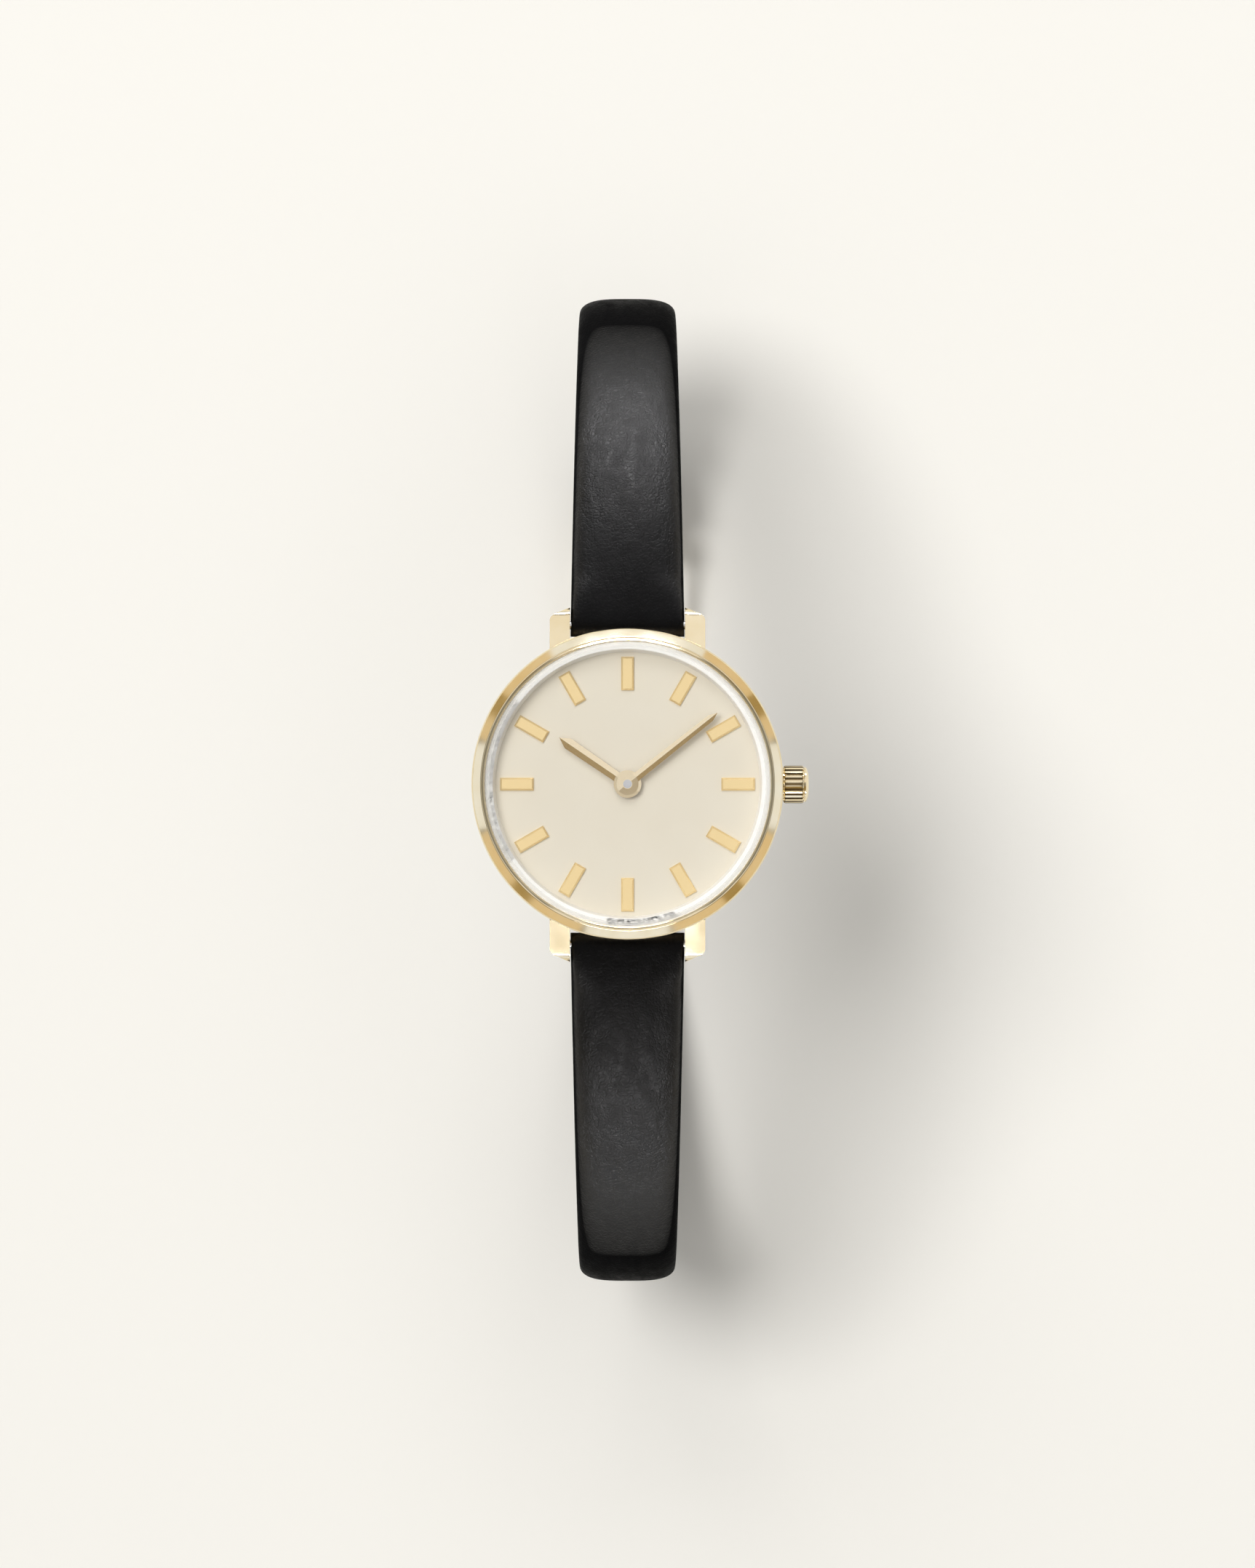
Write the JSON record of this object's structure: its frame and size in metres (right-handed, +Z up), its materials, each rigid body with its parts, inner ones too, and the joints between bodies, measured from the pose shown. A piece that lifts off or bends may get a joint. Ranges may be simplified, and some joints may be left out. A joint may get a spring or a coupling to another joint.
{
  "type": "wristwatch",
  "caption": "Small round analogue wristwatch with a gold-tone case, baton markers, two hands and an open leather strap with a pin buckle.",
  "frame": {"origin": "on the dial's axis, in the plane that the strap's flat underside stands on", "axes": "+Z up out of the dial, +Y towards 12 o'clock, +X towards 3 o'clock and the crown"},
  "size_m": [0.0292, 0.0877, 0.052],
  "materials": {
    "gold_plate": "polished pale gold plating on steel",
    "steel": "fine turned steel",
    "soft_iron": "plain iron sheet",
    "crystal_glass": "clear polished mineral glass",
    "white_gasket": "white nylon",
    "ring_enamel": "white lacquered ring",
    "black_gasket": "black rubber",
    "dial_cream": "matt cream lacquer with a fine grain",
    "movement_brass": "turned brass",
    "gold_spring": "gilt spring sheet",
    "spacer_plastic": "moulded white plastic",
    "board_green": "green circuit board",
    "chip_black": "black moulding",
    "copper_wire": "enamelled copper wire",
    "cell_steel": "bright nickel",
    "insulator": "amber film",
    "magnet": "dark sintered magnet",
    "strap_leather": "smooth black calf leather with a fine grain",
    "strap_lining": "soft dark nubuck lining"
  },
  "bodies": {
    "case": {"case_body": "gold_plate", "bezel": "gold_plate", "crystal": "crystal_glass", "crystal_gasket": "white_gasket", "dial_ring": "ring_enamel", "dial": "dial_cream", "hour_markers": "gold_plate", "case_back": "steel", "case_back_gasket": "black_gasket", "crown_tube": "steel", "movement_ring": "spacer_plastic", "main_plate": "movement_brass", "train_bridge": "steel", "circuit_board": "board_green", "control_chip": "chip_black", "oscillator_can": "steel", "coil_core": "soft_iron", "coil_winding": "copper_wire", "stator": "soft_iron", "battery": "cell_steel", "battery_clip": "gold_spring", "battery_insulator": "insulator", "movement_screws": "steel", "lug_bar_barrels": "steel", "lug_bar_pins": "steel"},
    "minute": {"minute_hand": "gold_plate", "cannon_pinion": "steel", "centre_wheel": "movement_brass"},
    "hour": {"hour_hand": "gold_plate", "hour_wheel": "movement_brass"},
    "minute_wheel": {"minute_wheel": "movement_brass"},
    "intermediate": {"intermediate_wheel": "movement_brass"},
    "rotor": {"rotor": "magnet"},
    "setting_lever": {"setting_lever": "steel"},
    "crown_slide": {"crown_gasket": "black_gasket"},
    "crown": {"crown": "gold_plate", "stem": "steel", "clutch_pinion": "steel"},
    "strap_12": {"strap_12_leather": "strap_leather", "strap_12_lining": "strap_lining", "fixed_keeper": "strap_leather", "buckle_bar": "steel"},
    "free_keeper": {"free_keeper": "strap_leather"},
    "buckle": {"buckle_frame": "gold_plate"},
    "tongue": {"buckle_tongue": "gold_plate"},
    "strap_6": {"strap_6_leather": "strap_leather", "strap_6_lining": "strap_lining"}
  },
  "joints": [
    {"name": "minute_spin", "type": "hinge", "parent": "case", "child": "minute", "pos_m": [0, 0, 0.0483], "axis": [0, 0, 1], "continuous": true},
    {"name": "hour_spin", "type": "hinge", "parent": "case", "child": "hour", "pos_m": [0, 0, 0.0483], "axis": [0, 0, 1], "continuous": true},
    {"name": "minute_wheel_spin", "type": "hinge", "parent": "case", "child": "minute_wheel", "pos_m": [0.0024, 0, 0.0483], "axis": [0, 0, 1], "continuous": true},
    {"name": "intermediate_spin", "type": "hinge", "parent": "case", "child": "intermediate", "pos_m": [-0.00187, 0.00187, 0.0483], "axis": [0, 0, 1], "continuous": true},
    {"name": "rotor_spin", "type": "hinge", "parent": "case", "child": "rotor", "pos_m": [-0.00395, 0.00307, 0.0483], "axis": [0, 0, 1], "continuous": true},
    {"name": "crown_pull", "type": "slide", "parent": "case", "child": "crown_slide", "axis": [1, 0, 0], "range_m": [0, 0.0007]},
    {"name": "crown_spin", "type": "hinge", "parent": "crown_slide", "child": "crown", "pos_m": [0, 0, 0.0483], "axis": [1, 0, 0], "continuous": true},
    {"name": "setting_lever_pivot", "type": "hinge", "parent": "case", "child": "setting_lever", "pos_m": [0.0064, 0.0022, 0.0483], "axis": [0, 0, 1], "range_deg": [0, 18.6]},
    {"name": "strap_12_pivot", "type": "hinge", "parent": "case", "child": "strap_12", "pos_m": [0, 0.01385, 0.0471], "axis": [1, 0, 0], "range_deg": [0, 70]},
    {"name": "strap_6_pivot", "type": "hinge", "parent": "case", "child": "strap_6", "pos_m": [0, -0.01385, 0.0471], "axis": [-1, 0, 0], "range_deg": [0, 70]},
    {"name": "free_keeper_slide", "type": "slide", "parent": "strap_12", "child": "free_keeper", "axis": [0, -0.9397, -0.342], "range_m": [-0.001, 0.0022]},
    {"name": "buckle_pivot", "type": "hinge", "parent": "strap_12", "child": "buckle", "pos_m": [0, 0.02261, 0.00433], "axis": [1, 0, 0], "range_deg": [-90, 35]},
    {"name": "tongue_pivot", "type": "hinge", "parent": "buckle", "child": "tongue", "pos_m": [0, 0.02261, 0.00433], "axis": [1, 0, 0], "range_deg": [0, 75]}
  ],
  "couplings": [
    {"joint": "hour_spin", "follows": "minute_spin", "ratio": 0.083333},
    {"joint": "minute_wheel_spin", "follows": "minute_spin", "ratio": -0.33333},
    {"joint": "intermediate_spin", "follows": "minute_spin", "ratio": -10},
    {"joint": "rotor_spin", "follows": "minute_spin", "ratio": 90},
    {"joint": "setting_lever_pivot", "follows": "crown_pull", "rad_per_m": 462.6}
  ]
}
